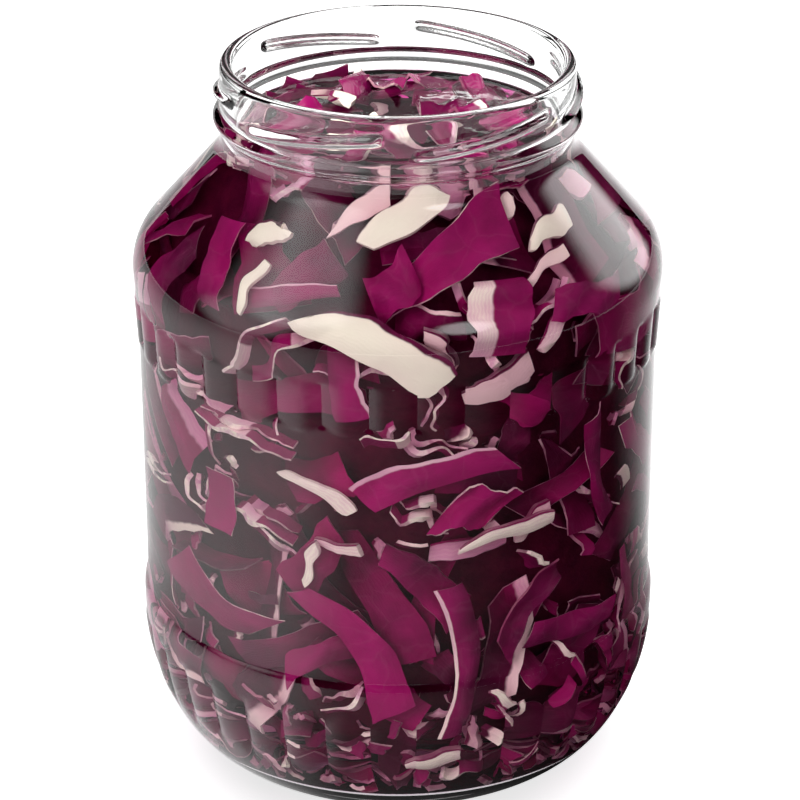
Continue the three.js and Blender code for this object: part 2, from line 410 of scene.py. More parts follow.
def cabbage_finish(cabbage, name, gloss, rough):
    """Purple leaf skin with fine veins, cream flesh in the ribs and pale cut edges."""
    f = Finish(name)
    where = f.place()
    grain = f.noise(where, 420.0, 4.0, 0.6)
    cloud = f.noise(where, 95.0, 3.0, 0.55)
    flat = f.node("ShaderNodeUVMap", {"uv_map": "leaf"})
    warp = f.node(
        "ShaderNodeTexNoise", None, {"Vector": flat, "Scale": 0.12, "Detail": 2.0}, "Color"
    )
    bent = f.node(
        "ShaderNodeVectorMath",
        {"operation": "MULTIPLY_ADD"},
        {0: warp, 1: (9.0, 9.0, 0.0), 2: flat},
    )
    veins = f.node(
        "ShaderNodeTexVoronoi",
        {"feature": "DISTANCE_TO_EDGE"},
        {"Vector": bent, "Scale": 0.1, "Randomness": 1.0},
        "Distance",
    )
    vein = 1.0 - f.ease(veins, 0.0, 0.05)
    fibres = f.node(
        "ShaderNodeTexWave",
        {"bands_direction": "Y", "wave_profile": "SIN"},
        {"Vector": flat, "Scale": 0.35, "Distortion": 6.0, "Detail": 2.0},
        "Fac",
    )
    # tone is each piece's own skin colour; on leaf strips it also carries a gradient of painted
    # shade.
    tone = f.attribute("tone")
    pale = f.attribute("pale")
    cut = f.attribute("cut")
    skin = f.blend(
        tone + (cloud - 0.5) * 1.1, opaque(cabbage.dark_skin), opaque(cabbage.bright_skin)
    )
    skin = f.blend(vein * 0.02, skin, opaque(cabbage.blush))
    flesh = f.blend(
        f.ease(tone + (cloud - 0.5) * 0.9 + (fibres - 0.5) * 0.12, 0.15, 0.85),
        opaque(cabbage.flesh),
        opaque(cabbage.blush),
    )
    inside = f.ease(pale + (cloud - 0.5) * 0.6, 0.4, 0.6)
    edge = f.blend(f.ease(grain, 0.35, 0.65), opaque(cabbage.blush), opaque(cabbage.flesh))
    colour = f.blend(inside, skin, flesh)
    colour = f.blend(cut * (0.35 + 0.65 * f.ease(cloud, 0.38, 0.58)), colour, edge)
    height = grain * 0.5 + vein * 0.2 + fibres * 0.15
    return f.surface(
        f.principled(
            Base_Color=colour,
            Roughness=rough + grain * 0.25,
            Specular_IOR_Level=gloss,
            Normal=f.bump(height, 0.35, 0.0004),
        )
    )


def core_finish(cabbage):
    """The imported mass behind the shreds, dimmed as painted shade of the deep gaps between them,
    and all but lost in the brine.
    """
    f = Finish("packed cabbage in painted shade")
    cloud = f.noise(f.place(), 140.0, 4.0, 0.6)
    # Painted shade: the core's lighter colour is the bright skin dimmed to a third, and it fades to
    # the dark skin.
    light = 0.35 * Vector(cabbage.bright_skin) + Vector((0.0, 0.01, 0.0))
    colour = f.blend(f.ease(cloud, 0.3, 0.75), opaque(cabbage.dark_skin), opaque(light))
    return f.surface(
        f.principled(
            Base_Color=colour,
            Roughness=0.5 + cloud * 0.3,
            Specular_IOR_Level=0.1,
            Normal=f.bump(cloud, 0.6, 0.002),
        )
    )


def flag_finish():
    """A card, dark and seen only in reflections: painted dark reflections on the glass in front and
    to the right, fading out towards the left and the back.
    """
    f = Finish("reflection-only dark card")
    x, y = (f.node("ShaderNodeSeparateXYZ", None, {0: f.place()}, axis) for axis in "XY")
    turn = f.node("ShaderNodeMath", {"operation": "ARCTAN2"}, {0: x, 1: y * -1.0})
    far, left, right, back = (
        f.ease(turn, math.radians(start), math.radians(stop))
        for start, stop in CARD_TURNS
    )
    shade = ((1.0 - far) * 0.4 + left * 0.8 + right * 0.2) * (1.0 - back)
    dark = f.node("ShaderNodeBsdfDiffuse", None, {"Color": (0.01, 0.01, 0.01, 1.0)})
    clear = f.node("ShaderNodeBsdfTransparent")
    return f.surface(f.node("ShaderNodeMixShader", None, {0: shade, 1: clear, 2: dark}))


def floor_finish(stage):
    """A plain pale light table."""
    f = Finish("pale card")
    fleck = f.noise(f.place(), 60.0, 2.0, 0.5)
    tone = Vector(stage.floor)
    colour = f.blend(fleck, opaque(0.985 * tone), opaque(tone))
    return f.surface(
        f.principled(
            Base_Color=colour,
            Roughness=0.8,
            Specular_IOR_Level=0.2,
            Emission_Color=colour,
            Emission_Strength=stage.glow,
        )
    )


# Shapes


def arc(centre, reach, start, stop, steps):
    """Points (radius, height) along an ellipse; angles in degrees, from outwards to up."""
    turns = np.radians(np.linspace(start, stop, steps + 1))
    return np.column_stack(
        [centre[0] + reach[0] * np.cos(turns), centre[1] + reach[1] * np.sin(turns)]
    )


def corner(start, lean, stop, steps):
    """A smooth corner from start to stop that leans on a third point."""
    t = np.linspace(0.0, 1.0, steps + 1)[:, None]
    a, b, c = (np.array(p, float) for p in (start, lean, stop))
    return (1 - t) ** 2 * a + 2 * t * (1 - t) * b + t**2 * c


def smooth(value):
    """0 below 0, 1 above 1, and smooth between."""
    t = np.clip(value, 0.0, 1.0)
    return t * t * (3 - 2 * t)


def outside(glass):
    """The jar's outer profile in mm, from the middle of the base to the lip."""
    body, label, foot, neck, top = (
        v / MM
        for v in (
            glass.body_radius,
            glass.label_radius,
            glass.foot_radius,
            glass.neck_radius,
            glass.height,
        )
    )
    turn = math.radians(SHOULDER_TURN)
    shoulder = (body - SHOULDER_ARC, SHOULDER_START)
    bend = arc(shoulder, (SHOULDER_ARC, SHOULDER_ARC), 0, SHOULDER_TURN, 12)
    meet = bend[-1][1] + (bend[-1][0] - neck) / math.tan(turn)
    fillet_from = (neck + OUTER_FILLET, meet - OUTER_FILLET / math.tan(turn))
    band = np.arange(*BAND_ROWS)
    rows = np.arange(*NECK_ROWS)
    bead = np.cos(np.clip((rows - BEAD_AT) / BEAD_HALF, -1, 1) * math.pi / 2) ** 2
    lip = (neck - LIP_RADIUS, top - LIP_RADIUS)
    return np.vstack(
        [
            [(0, PUSH_UP), (26, 3.6), (40, 2.2), (43.6, 1.1), (44.9, 0.35), (46.2, 0.0)],
            arc((foot, HEEL_HEIGHT), (body - foot, HEEL_HEIGHT), -90, 0, 46),
            corner((body, HEEL_HEIGHT + 1), (body, 46.4), (label, LABEL_BOTTOM + 0.6), 5),
            [(label, 62.0), (label, 84.0), (label, 106.0)],
            np.column_stack(
                [np.interp(band, (LABEL_TOP, SHOULDER_START), (label, body)), band]
            ),
            [(body - 0.1, 138.3)],
            bend,
            [0.5 * (bend[-1] + np.array(fillet_from))],
            corner(fillet_from, (neck, meet), (neck, meet + FILLET_HEIGHT), 6),
            np.column_stack([neck + BEAD_RISE * bead, rows]),
            arc(lip, (LIP_RADIUS, LIP_RADIUS), 0, 90, 7),
        ]
    )


def inside(glass, steps=24):
    """The jar's inner profile in mm, from the middle of the floor to the lip."""
    body, label, mouth, wall, top = (
        v / MM
        for v in (
            glass.body_radius,
            glass.label_radius,
            glass.mouth_radius,
            glass.wall,
            glass.height,
        )
    )
    turn = math.radians(SHOULDER_TURN)
    reach = SHOULDER_ARC - wall
    bend = arc((body - SHOULDER_ARC, SHOULDER_START), (reach, reach), 0, SHOULDER_TURN, 10)
    meet = bend[-1][1] + (bend[-1][0] - mouth) / math.tan(turn)
    fillet_from = (mouth + INNER_FILLET, meet - INNER_FILLET / math.tan(turn))
    heel = (body - wall - INNER_FOOT, HEEL_HEIGHT - FLOOR_EDGE)
    lip = (mouth + LIP_RADIUS, top - LIP_RADIUS)
    return np.vstack(
        [
            [(0, FLOOR_CENTRE), (24, FLOOR_CENTRE - 0.7)],
            arc((INNER_FOOT, HEEL_HEIGHT), heel, -90, 0, steps),
            corner(
                (body - wall, HEEL_HEIGHT + 0.5),
                (body - wall, 47.5),
                (label - wall, LABEL_BOTTOM + 3),
                4,
            ),
            [(label - wall, 84.0), (label - wall, LABEL_TOP)],
            bend,
            corner(fillet_from, (mouth, meet), (mouth, meet + FILLET_HEIGHT), 6),
            [(mouth, 180.0), (mouth, 188.0)],
            arc(lip, (LIP_RADIUS, LIP_RADIUS), 180, 90, 7)[:-1],
        ]
    )


def deselect():
    if bpy.context.mode != "OBJECT":
        bpy.ops.object.mode_set(mode="OBJECT")
    bpy.ops.object.select_all(action="DESELECT")


def spun(name, profile, steps):
    """A turned shape: one vertex drawn out along the profile in mm, then spun round the axis."""
    points = [Vector((0.0, -r * MM, z * MM)) for r, z in profile]
    deselect()
    bpy.ops.mesh.primitive_plane_add(size=MM)
    piece = bpy.context.object
    piece.name = piece.data.name = name
    bpy.ops.object.mode_set(mode="EDIT")
    bpy.ops.mesh.select_all(action="SELECT")
    bpy.ops.mesh.merge(type="CENTER")
    bpy.ops.transform.translate(value=points[0])
    for start, stop in zip(points, points[1:]):
        bpy.ops.mesh.extrude_vertices_move(TRANSFORM_OT_translate={"value": stop - start})
    bpy.ops.mesh.select_all(action="SELECT")
    bpy.ops.mesh.spin(steps=steps, angle=math.tau, center=(0, 0, 0), axis=(0, 0, 1))
    bpy.ops.mesh.select_all(action="SELECT")
    bpy.ops.mesh.remove_doubles(threshold=0.002 * MM)
    bpy.ops.mesh.normals_make_consistent(inside=False)
    bpy.ops.object.mode_set(mode="OBJECT")
    bpy.ops.object.shade_smooth()
    if not piece.data.polygons:
        raise RuntimeError(f"{name} has no faces")
    return piece


def polar(piece):
    """Each vertex's angle from the front, radius and height: degrees and mm."""
    flat = np.empty(len(piece.data.vertices) * 3)
    piece.data.vertices.foreach_get("co", flat)
    x, y, z = flat.reshape(-1, 3).T / MM
    return np.degrees(np.arctan2(x, -y)), np.hypot(x, y), z


def relief(piece, name, weights, rise):
    """Pushes the surface out, or in where rise is below 0, by each vertex's weight."""
    group = piece.vertex_groups.new(name=name)
    for i in np.nonzero(weights > 1e-3)[0]:
        group.add([int(i)], float(weights[i]), "REPLACE")
    push = piece.modifiers.new(name, "DISPLACE")
    push.vertex_group = name
    push.strength = rise
    push.mid_level = 0.0
    bpy.ops.object.modifier_apply(modifier=name)


def panel_weights(angle, height, panels):
    """How far each point is up a panel's pillow and down the lines between, from 0 to 1."""
    across = ((angle - PANEL_PHASE) * panels / 360.0) % 1.0
    crest = 1 - np.abs(2 * across - 1) ** 2.2
    low, high = UPPER_PANELS
    upper = smooth((height - low - 1.4 * (1 - crest)) / 1.3) * smooth((high - height) / 1.7)
    low, high = LOWER_PANELS
    lower = smooth((height - low) / 9.0) * smooth((high - 1.5 * (1 - crest) - height) / 1.7)
    band = upper + lower
    return band * crest, band * (1 - crest)


def thread_weights(angle, height):
    """How far each point is up one of the six threads."""
    weights = np.zeros_like(angle)
    for k in range(THREADS):
        along = ((THREAD_START + 60.0 * k - angle) % 360.0) / THREAD_SPAN
        middle = THREAD_HIGH + (THREAD_LOW - THREAD_HIGH) * along
        rise = np.cos(np.clip((height - middle) / THREAD_HALF, -1, 1) * math.pi / 2) ** 2
        ends = smooth(along / 0.08) * smooth((1 - along) / 0.12)
        weights = np.maximum(weights, np.where(along <= 1, rise * ends, 0))
    return weights


def finish_piece(piece, materials, node):
    """Gives a piece its materials, and ties it to the frame."""
    piece.data.materials.clear()
    for material in materials:
        piece.data.materials.append(material)
    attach(piece, BODY)
    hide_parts(node)


# Cabbage


def spread(rows, columns):
    """A piece's own grid: s along it and t across it, each from -0.5 to 0.5."""
    return (
        np.linspace(-0.5, 0.5, rows + 1)[:, None] * np.ones((1, columns + 1)),
        np.linspace(-0.5, 0.5, columns + 1)[None, :] * np.ones((rows + 1, 1)),
    )


def finer(grid, times):
    """The same grid with more points, straight between the old ones."""
    for _ in range(2):
        size = len(grid)
        at = np.linspace(0, size - 1, (size - 1) * times + 1)
        low = np.minimum(at.astype(int), size - 2)
        share = (at - low)[:, None]
        grid = ((1 - share) * grid[low] + share * grid[low + 1]).T
    return grid


def drape(bumps, rounds=8):
    """A limp sheet over bumps: it touches the high ones and spans the hollows."""
    sheet = bumps
    for _ in range(rounds):
        wide = np.pad(sheet, 1, mode="edge")
        mean = (wide[:-2, 1:-1] + wide[2:, 1:-1] + wide[1:-1, :-2] + wide[1:-1, 2:]) / 4
        sheet = np.maximum(bumps, mean)
    return sheet


def board(bumps):
    """A stiff piece over bumps: the flat plane that best follows them and clears them all."""
    s, t = spread(bumps.shape[0] - 1, bumps.shape[1] - 1)
    sides = np.column_stack([s.ravel(), t.ravel(), np.ones(s.size)])
    fit = np.linalg.lstsq(sides, bumps.ravel(), rcond=None)[0]
    plane = (sides @ fit).reshape(bumps.shape)
    return plane + (bumps - plane).max()


class Wall:
    """The inside of the glass, unrolled, and how deep the pieces already laid reach.

    Turn is the angle from the front in radians, up the way along the wall from the middle of
    the floor, and depth the way in from the glass, both in mm.
    """

    GAP = 0.35
    DEEPEST = 12.5

    def __init__(self, profile):
        reach = np.hypot(*np.diff(profile, axis=0).T)
        length = np.concatenate([[0], np.cumsum(reach)])
        self.up = np.arange(0.0, length[-1], 0.5)
        self.radius = np.interp(self.up, length, profile[:, 0])
        self.height = np.interp(self.up, length, profile[:, 1])
        even = np.ones(17) / 17
        run = [
            np.convolve(np.pad(np.gradient(v), 8, mode="edge"), even, "valid")
            for v in (self.radius, self.height)
        ]
        size = np.hypot(*run)
        self.inward = (-run[1] / size, run[0] / size)
        self.taken = np.full((360, int(self.up[-1]) + 2), 0.4)
        self.ceiling = self.up[-1]

    def radius_at(self, up):
        return np.interp(up, self.up, self.radius)

    def point(self, turn, up, depth):
        radius, height, out, rise = (
            np.interp(up, self.up, v) for v in (self.radius, self.height, *self.inward)
        )
        radius = radius + out * depth
        return np.stack(
            [radius * np.sin(turn), -radius * np.cos(turn), height + rise * depth], axis=-1
        )

    def cells(self, turn, up):
        return (
            np.rint(np.degrees(turn)).astype(int) % 360,
            np.clip(np.rint(up).astype(int), 0, self.taken.shape[1] - 1),
        )

    def chart(self, middle, angle, x, y):
        """Turns a piece's own x and y in mm into places on the wall, kept below the top."""
        turn, up = middle
        c, s = math.cos(angle), math.sin(angle)
        rise = up + x * s + y * c
        spill = max(0.0, rise.max() - self.ceiling)
        return turn + (x * c - y * s) / self.radius_at(up), rise - spill

    def lay(self, places, lift, thick, rest=drape):
        """How deep a piece lies that rests behind all that is there, or None if there's no room."""
        a, b = places
        beside = [self.taken[self.cells(a + step, b)] for step in (-0.02, 0, 0.02)]
        under = rest(np.maximum.reduce(beside))
        depth = under + lift + thick / 2
        if depth.max() > self.DEEPEST:
            return None
        marks = self.cells(finer(a, 6), finer(b, 6))
        np.maximum.at(self.taken, marks, finer(depth + thick / 2 + self.GAP, 6))
        return depth


class Dish(Wall):
    """The top of the heap inside the neck, seen from above: pieces lie on what is there."""

    GAP = 0.2
    DEEPEST = 13.5
    HALF = 50

    def __init__(self, base):
        self.base = base
        self.ceiling = self.HALF
        self.taken = np.zeros((2 * self.HALF, 2 * self.HALF))

    def radius_at(self, up):
        return 1.0

    def point(self, x, y, rise):
        return np.stack([x, y, self.base + rise], axis=-1)

    def cells(self, x, y):
        return tuple(
            np.clip(np.rint(v).astype(int) + self.HALF, 0, 2 * self.HALF - 1) for v in (x, y)
        )


class Heap:
    """Gathers many pieces of one kind into one mesh."""

    def __init__(self):
        self.points, self.faces, self.cut = [], [], []
        self.tone, self.pale, self.flat = [], [], []
        self.count = 0

    def add(self, middle, thick, tone, pale, rim, x, y):
        """One closed piece: a grid of points in mm with a thickness, and what its colour follows."""
        rows, columns = (n - 1 for n in middle.shape[:2])
        along, across = np.gradient(middle, axis=0), np.gradient(middle, axis=1)
        normal = np.cross(along, across)
        normal /= np.maximum(np.linalg.norm(normal, axis=-1, keepdims=True), 1e-9)
        half = (0.5 * np.broadcast_to(thick, middle.shape[:2]))[..., None] * normal
        both = np.concatenate([(middle + half).reshape(-1, 3), (middle - half).reshape(-1, 3)])
        size = (rows + 1) * (columns + 1)
        index = np.arange(size).reshape(rows + 1, columns + 1)
        quads = np.stack(
            [index[:-1, :-1], index[1:, :-1], index[1:, 1:], index[:-1, 1:]], axis=-1
        ).reshape(-1, 4)
        ring = np.concatenate(
            [index[:-1, 0], index[-1, :-1], index[:0:-1, -1], index[0, :0:-1]]
        )
        after = np.roll(ring, -1)
        edge = np.stack([ring + size, after + size, after, ring], axis=-1)
        faces = np.concatenate([quads, quads[:, ::-1] + size, edge])
        self.points.append(both)
        self.faces.append(faces + self.count)
        self.cut.append(np.concatenate([np.zeros(2 * len(quads)), np.full(len(edge), rim)]))
        self.tone.append(np.tile(np.broadcast_to(tone, middle.shape[:2]).ravel(), 2))
        self.pale.append(np.tile(np.broadcast_to(pale, middle.shape[:2]).ravel(), 2))
        shift = 37.0 * (self.count % 1009)
        self.flat.append(np.tile(np.column_stack([x.ravel() + shift, y.ravel()]), (2, 1)))
        self.count += 2 * size

    def make(self, name):
        """The mesh, with its attributes, normals pointing out and edges kept sharp."""
        if not self.points:
            raise RuntimeError(f"{name} has no pieces")
        faces = np.concatenate(self.faces)
        mesh = bpy.data.meshes.new(name)
        mesh.from_pydata((np.concatenate(self.points) * MM).tolist(), [], faces.tolist())
        for key, domain, values in (
            ("tone", "POINT", self.tone),
            ("pale", "POINT", self.pale),
            ("cut", "FACE", self.cut),
        ):
            mesh.attributes.new(key, "FLOAT", domain).data.foreach_set(
                "value", np.concatenate(values)
            )
        flat = np.concatenate(self.flat)[faces.ravel()]
        mesh.uv_layers.new(name="leaf").data.foreach_set("uv", flat.ravel())
        piece = bpy.data.objects.new(name, mesh)
        bpy.context.collection.objects.link(piece)
        deselect()
        piece.select_set(True)
        bpy.context.view_layer.objects.active = piece
        bpy.ops.object.mode_set(mode="EDIT")
        bpy.ops.mesh.select_all(action="SELECT")
        bpy.ops.mesh.normals_make_consistent(inside=False)
        bpy.ops.object.mode_set(mode="OBJECT")
        bpy.ops.object.shade_smooth_by_angle(angle=math.radians(50))
        return piece


class Packer:
    """Lays shreds on a wall or a dish, one after another."""

    def __init__(self, bed, heaps, chance):
        self.bed = bed
        self.heaps = heaps
        self.chance = chance

    def between(self, low, high):
        return self.chance.uniform(low, high)

    def wobble(self, s, size):
        """An edge that isn't quite straight."""
        beats, start = self.between(4, 10), self.between(0, math.tau)
        return size * (np.sin(beats * s + start) + 0.4 * np.sin(2.7 * beats * s + 3 * start))

    def leaf(self, place, angle, length, width, tone, pale=None, tilt=0.0, fine=False, thick=None):
        """A flat strip of leaf, cut askew, folded or curled, that drapes over what is there."""
        s, t = spread(14 if fine else 8, 4 if fine else 2)
        skew, taper = self.between(-0.8, 0.8), self.between(-0.35, 0.35)
        sway = self.between(-0.13, 0.13) * length
        fold = (not fine) * (self.chance.random() < 0.3) * self.between(0.3, 1.0)
        x = s * length + skew * t * width
        y = t * width * math.cos(tilt) * (1 - 0.3 * fold) * (1 + taper * 2 * s)
        y = y + sway * (4 * s * s - 0.4)
        y = y + (0.5 + t) * self.wobble(s, 0.07 * width) + (0.5 - t) * self.wobble(s, 0.07 * width)
        lift = (t + 0.5) * width * math.sin(tilt) + fold * width * np.maximum(t, 0)
        cup = self.between(0, 0.25) * width
        lift = lift + cup * (4 * t * t if self.chance.random() < 0.6 else 1 - 4 * t * t)
        lift = lift + self.between(0, 2.2) * np.abs(2 * s) ** 2.5 * (self.chance.random() < 0.5)
        crumple = np.sin(self.between(5, 14) * s + self.between(-6, 6) * t + self.between(0, 6))
        lift = lift + self.between(0.2, 1.1) * (1 + crumple)
        thick = thick or self.between(0.35, 0.65)
        where = self.bed.chart(place, angle, x, y)
        depth = self.bed.lay(where, lift, thick)
        if depth is None:
            return
        pale = 0.0 if pale is None else pale(s, t)
        # Painted shade: a random gradient darkens each strip along and across it, standing in for
        # the shade where it curls away and lies deeper in the brine.
        tone = tone + self.between(-0.8, 0.8) * s + self.between(-0.5, 0.5) * t
        rim = self.chance.beta(0.8, 1.2)
        self.heaps["leaf"].add(self.bed.point(*where, depth), thick, tone, pale, rim, x, t * width)

    def rib(self, place, angle, length, width, thick, bow=0.0, stain=0.5, fine=False, taper=None):
        """A thick pale slice of rib, cut flat, with skin along one side."""
        s, t = spread(18 if fine else 7, 4 if fine else 3)
        tip, blunt = self.between(0.35, 0.95), self.between(3, 9)
        taper = self.between(-0.5, 0.5) if taper is None else taper
        slim = (1 - (1 - tip) * np.abs(2 * s) ** blunt) * (1 + taper * 2 * s)
        sway = self.between(0.05, 0.2) * width * np.sin(self.between(5, 10) * s + self.between(0, 6))
        x = s * length + self.between(-0.8, 0.8) * t * width
        y = t * width * slim + bow * (1 - 4 * s * s) + sway
        y = y + (0.5 + t) * self.wobble(s, 0.07 * width) + (0.5 - t) * self.wobble(s, 0.07 * width)
        plump = thick * (0.7 + 0.3 * (1 - (2 * t) ** 2)) * (0.6 + 0.4 * np.minimum(slim, 1))
        tilt = 0.0 if fine else self.between(0, 0.5) * width * (t + 0.5)
        where = self.bed.chart(place, angle, x, y)
        depth = self.bed.lay(where, tilt + 0.2 * (1 + np.sin(7 * s)), thick, board)
        if depth is None:
            return
        skin = self.between(0.2, 1.0)
        pale = 1.0 - smooth((t + 0.5 - (1 - 0.25 * skin)) / 0.12) * 0.9
        self.heaps["rib"].add(self.bed.point(*where, depth), plump, stain, pale, 0.3, x, t * width)

    def ribbon(self, place, angle, length, deep, layers, wave, beats, tone):
        """Wavy strips on edge behind the glass, thick and pale where cut close to the rib."""
        s, t = spread(18, 1)
        start, lean = self.between(0, math.tau), self.between(-1.3, 1.3)
        rib_at, rib_long = self.between(-0.4, 0.4), self.between(0.12, 0.3)
        fat = self.between(0.3, 2.4) / layers**0.5
        swell = np.exp(-(((s - rib_at) / rib_long) ** 2))
        thick = self.between(0.4, 0.7) + fat * swell * (1 - 0.5 * (t + 0.5))
        pale = smooth(1.8 * swell - 0.5)
        crinkle = self.between(0.3, 1.1)
        for k in range(layers):
            x = s * length * (1 - 0.06 * k)
            sway = wave * (1 + 0.12 * k) * (0.55 + 0.45 * np.cos(5 * s + start))
            y = sway * np.sin(beats * math.tau * s + start + 0.25 * k)
            y = y + (k - layers / 2) * (1.3 + 0.5 * fat)
            y = y + self.wobble(s, crinkle) + lean * (t + 0.5) * deep
            where = self.bed.chart(place, angle, x, y)
            depth = self.bed.lay(where, (t + 0.5) * deep, 0.4)
            if depth is None:
                continue
            self.heaps["ribbon"].add(
                self.bed.point(*where, depth), thick, tone, pale, 1.0, x, (t + 0.5) * deep
            )

    def bit(self, place, angle, length, width, thick, tone, pale):
        """A crumb, with skin along one side where it is pale."""
        s, t = spread(4, 2)
        x = s * length + self.between(-0.6, 0.6) * t * width
        y = t * width * (1 - self.between(-0.5, 0.7) * (s + 0.5)) + self.wobble(s, 0.12 * width)
        lift = (t + 0.5) * self.between(0, 1.2) * width + self.between(0, 1) * length * s * s
        where = self.bed.chart(place, angle, x, y)
        depth = self.bed.lay(where, lift, thick)
        if depth is None:
            return
        pale = pale * (1 - 0.9 * smooth((t + self.between(-0.3, 0.4)) / 0.3))
        self.heaps["bit"].add(self.bed.point(*where, depth), thick, tone, pale, 0.5, x, y)


# The pieces that stand out behind the front of the glass, the nearest to it first. Each has its
# kind, the angle from the front, the way up the wall, the turn from level and the length, in
# degrees and mm. Then come a leaf's width, tone and pale part, a rib's width, thickness and bow,
# or a ribbon's layers, wave and beats.
FRONT = (
    ("rib", -6.3, 192.0, -23, 42, 11.0, 4.5, 3.0),
    ("leaf", 24.1, 199.7, -101, 21, 16.5, 0.55, "side"),
    ("leaf", -0.8, 211.1, 41, 14, 11.5, 0.65, ""),
    ("rib", 9.9, 191.2, -63, 16, 5.0, 2.5, 0.6),
    ("rib", 17.2, 185.8, 30, 13, 8.0, 2.6, 0.0),
    ("rib", 22.3, 182.0, 22, 22, 7.0, 3.0, -2.0),
    ("rib", 31.6, 189.4, 47, 14, 7.0, 2.8, 0.8),
    ("rib", 2.6, 228.0, 40, 24, 8.5, 3.5, 1.5),
    ("leaf", 15.0, 217.6, 28, 41, 13.0, 0.7, ""),
    ("rib", -12.2, 230.0, 34, 18, 5.0, 3.0, 1.0),
    ("rib", -39.4, 219.6, 33, 10.5, 6.5, 3.0, 0.0),
    ("rib", -36.4, 205.1, 82, 15, 3.4, 2.2, 2.0),
    ("rib", 47.5, 218.5, 6, 17, 6.0, 3.0, 1.0),
    ("rib", 36.0, 226.3, 49, 12, 4.0, 2.4, 0.6),
    ("rib", 40.3, 209.3, 21, 20, 3.0, 2.2, 1.2),
    ("leaf", 7.3, 201.5, -18, 19, 10.0, 0.15, "edge"),
    ("rib", -18.2, 152.1, -26, 21.4, 3.4, 2.2, 0.8),
    ("rib", -19.8, 130.9, 74, 12.3, 3.2, 2.2, 0.3),
    ("rib", -13.6, 136.3, 2, 12.2, 2.8, 2.0, 0.0),
    ("rib", 25.2, 138.0, 9, 27.7, 3.8, 2.4, 1.6),
    ("rib", 32.6, 139.0, 30, 12.8, 4.4, 2.2, 0.5),
    ("rib", 8.4, 70.9, 12, 16, 4.5, 2.6, 0.8),
    ("leaf", -26.5, 205.7, 14, 26, 4.8, 0.6, "edge"),
    ("leaf", -50.3, 207.8, 110, 24, 8.5, 0.7, ""),
    ("leaf", -65.4, 199.8, 71, 22, 10.7, 0.25, ""),
    ("leaf", -24.9, 211.0, 43, 20, 10.7, 0.45, ""),
    ("leaf", -11.4, 184.0, -80, 21, 8.0, 0.6, "edge"),
    ("leaf", -43.2, 142.1, -92, 17, 9.6, 0.75, ""),
    ("leaf", -46.2, 111.4, -16, 36, 10.7, 0.65, ""),
    ("leaf", -9.3, 107.4, -53, 43, 9.6, 0.75, ""),
    ("leaf", -17.2, 103.3, 26, 25, 7.0, 0.6, ""),
    ("leaf", 8.0, 157.5, 13, 40, 8.0, 0.85, "edge"),
    ("leaf", 18.0, 146.7, -9, 16, 11.7, 0.9, ""),
    ("leaf", 14.0, 102.9, 92, 45, 7.0, 0.3, "edge"),
    ("leaf", 30.7, 114.6, 51, 27, 7.0, 0.35, ""),
    ("leaf", 44.8, 104.7, -6, 33, 7.0, 0.5, ""),
    ("leaf", -19.6, 130.4, 58, 23, 10.7, 0.6, ""),
    ("leaf", 48.3, 198.3, -8, 25, 8.0, 0.5, ""),
    ("leaf", 51.1, 148.4, -78, 33, 5.5, 0.25, ""),
    ("ribbon", -27.3, 191.1, 38, 22, 4, 2.5, 1.1),
    ("ribbon", -36.9, 165.0, -10, 32, 2, 1.0, 0.8),
    ("ribbon", -30.9, 140.9, -15, 19, 2, 1.4, 1.1),
    ("ribbon", -12.9, 92.4, 25, 13, 2, 1.8, 1.0),
    ("ribbon", 6.1, 147.2, -26, 17, 3, 1.4, 1.2),
)


def pale_side(s, t):
    return 1.0 - smooth((t + 0.27) / 0.2)


def pale_edge(s, t):
    return 1.0 - smooth((0.5 - t) / 0.16)


def pale_end(s, t):
    return smooth((s + 0.1 * t) / 0.5)


PALE = {"": None, "side": pale_side, "edge": pale_edge, "end": pale_end}


def lay_front(packer):
    """The pieces that show most, laid first, against the glass."""
    for kind, turn, up, angle, length, *more in FRONT:
        place, lean = (math.radians(turn), up), math.radians(angle)
        if kind == "leaf":
            width, tone, style = more
            packer.leaf(place, lean, length, width, tone, PALE[style], 0.0, True)
        elif kind == "rib":
            width, thick, bow = more
            stain = 0.1 if up > 180 else 0.45
            packer.rib(place, lean, length, width, thick, bow, stain, True, 0.25)
        else:
            layers, wave, beats = more
            packer.ribbon(place, lean, length, 4.0, layers, wave, beats, 0.6)


def lay_wall(packer, cabbage, low, high):
    """All the rest behind the glass, in a shuffled order."""
    chance = packer.chance
    kinds = np.repeat(
        ["leaf", "rib", "ribbon"], [cabbage.leaves, cabbage.ribs, cabbage.ribbons]
    )
    chance.shuffle(kinds)
    for kind in kinds:
        place = (packer.between(-math.pi, math.pi), packer.between(low, high))
        angle = chance.normal(0, 0.75) + (chance.random() < 0.25) * math.pi / 2
        stain = 0.85 - 0.65 * (place[1] - low) / (high - low) * chance.beta(2, 1)
        if kind == "leaf":
            tilt = abs(chance.normal(0, 0.3)) if chance.random() < 0.8 else packer.between(0.6, 1.2)
            style = chance.choice(["", "edge", "side", "end"], p=[0.78, 0.12, 0.05, 0.05])
            packer.leaf(
                place,
                angle,
                packer.between(*LEAF_LONG),
                packer.between(*LEAF_WIDE),
                chance.beta(0.9, 2.0),
                PALE[str(style)],
                min(tilt, 1.25),
            )
        elif kind == "rib":
            packer.rib(
                place,
                angle,
                packer.between(*RIB_LONG),
                packer.between(*RIB_WIDE),
                packer.between(*RIB_THICK),
                packer.between(*RIB_BOW),
                stain,
            )
        else:
            packer.ribbon(
                place,
                angle,
                packer.between(*RIBBON_LONG),
                packer.between(*RIBBON_DEEP),
                int(chance.integers(1, 4)),
                packer.between(*RIBBON_WAVE),
                packer.between(*RIBBON_BEATS),
                chance.beta(1.3, 1.3),
            )


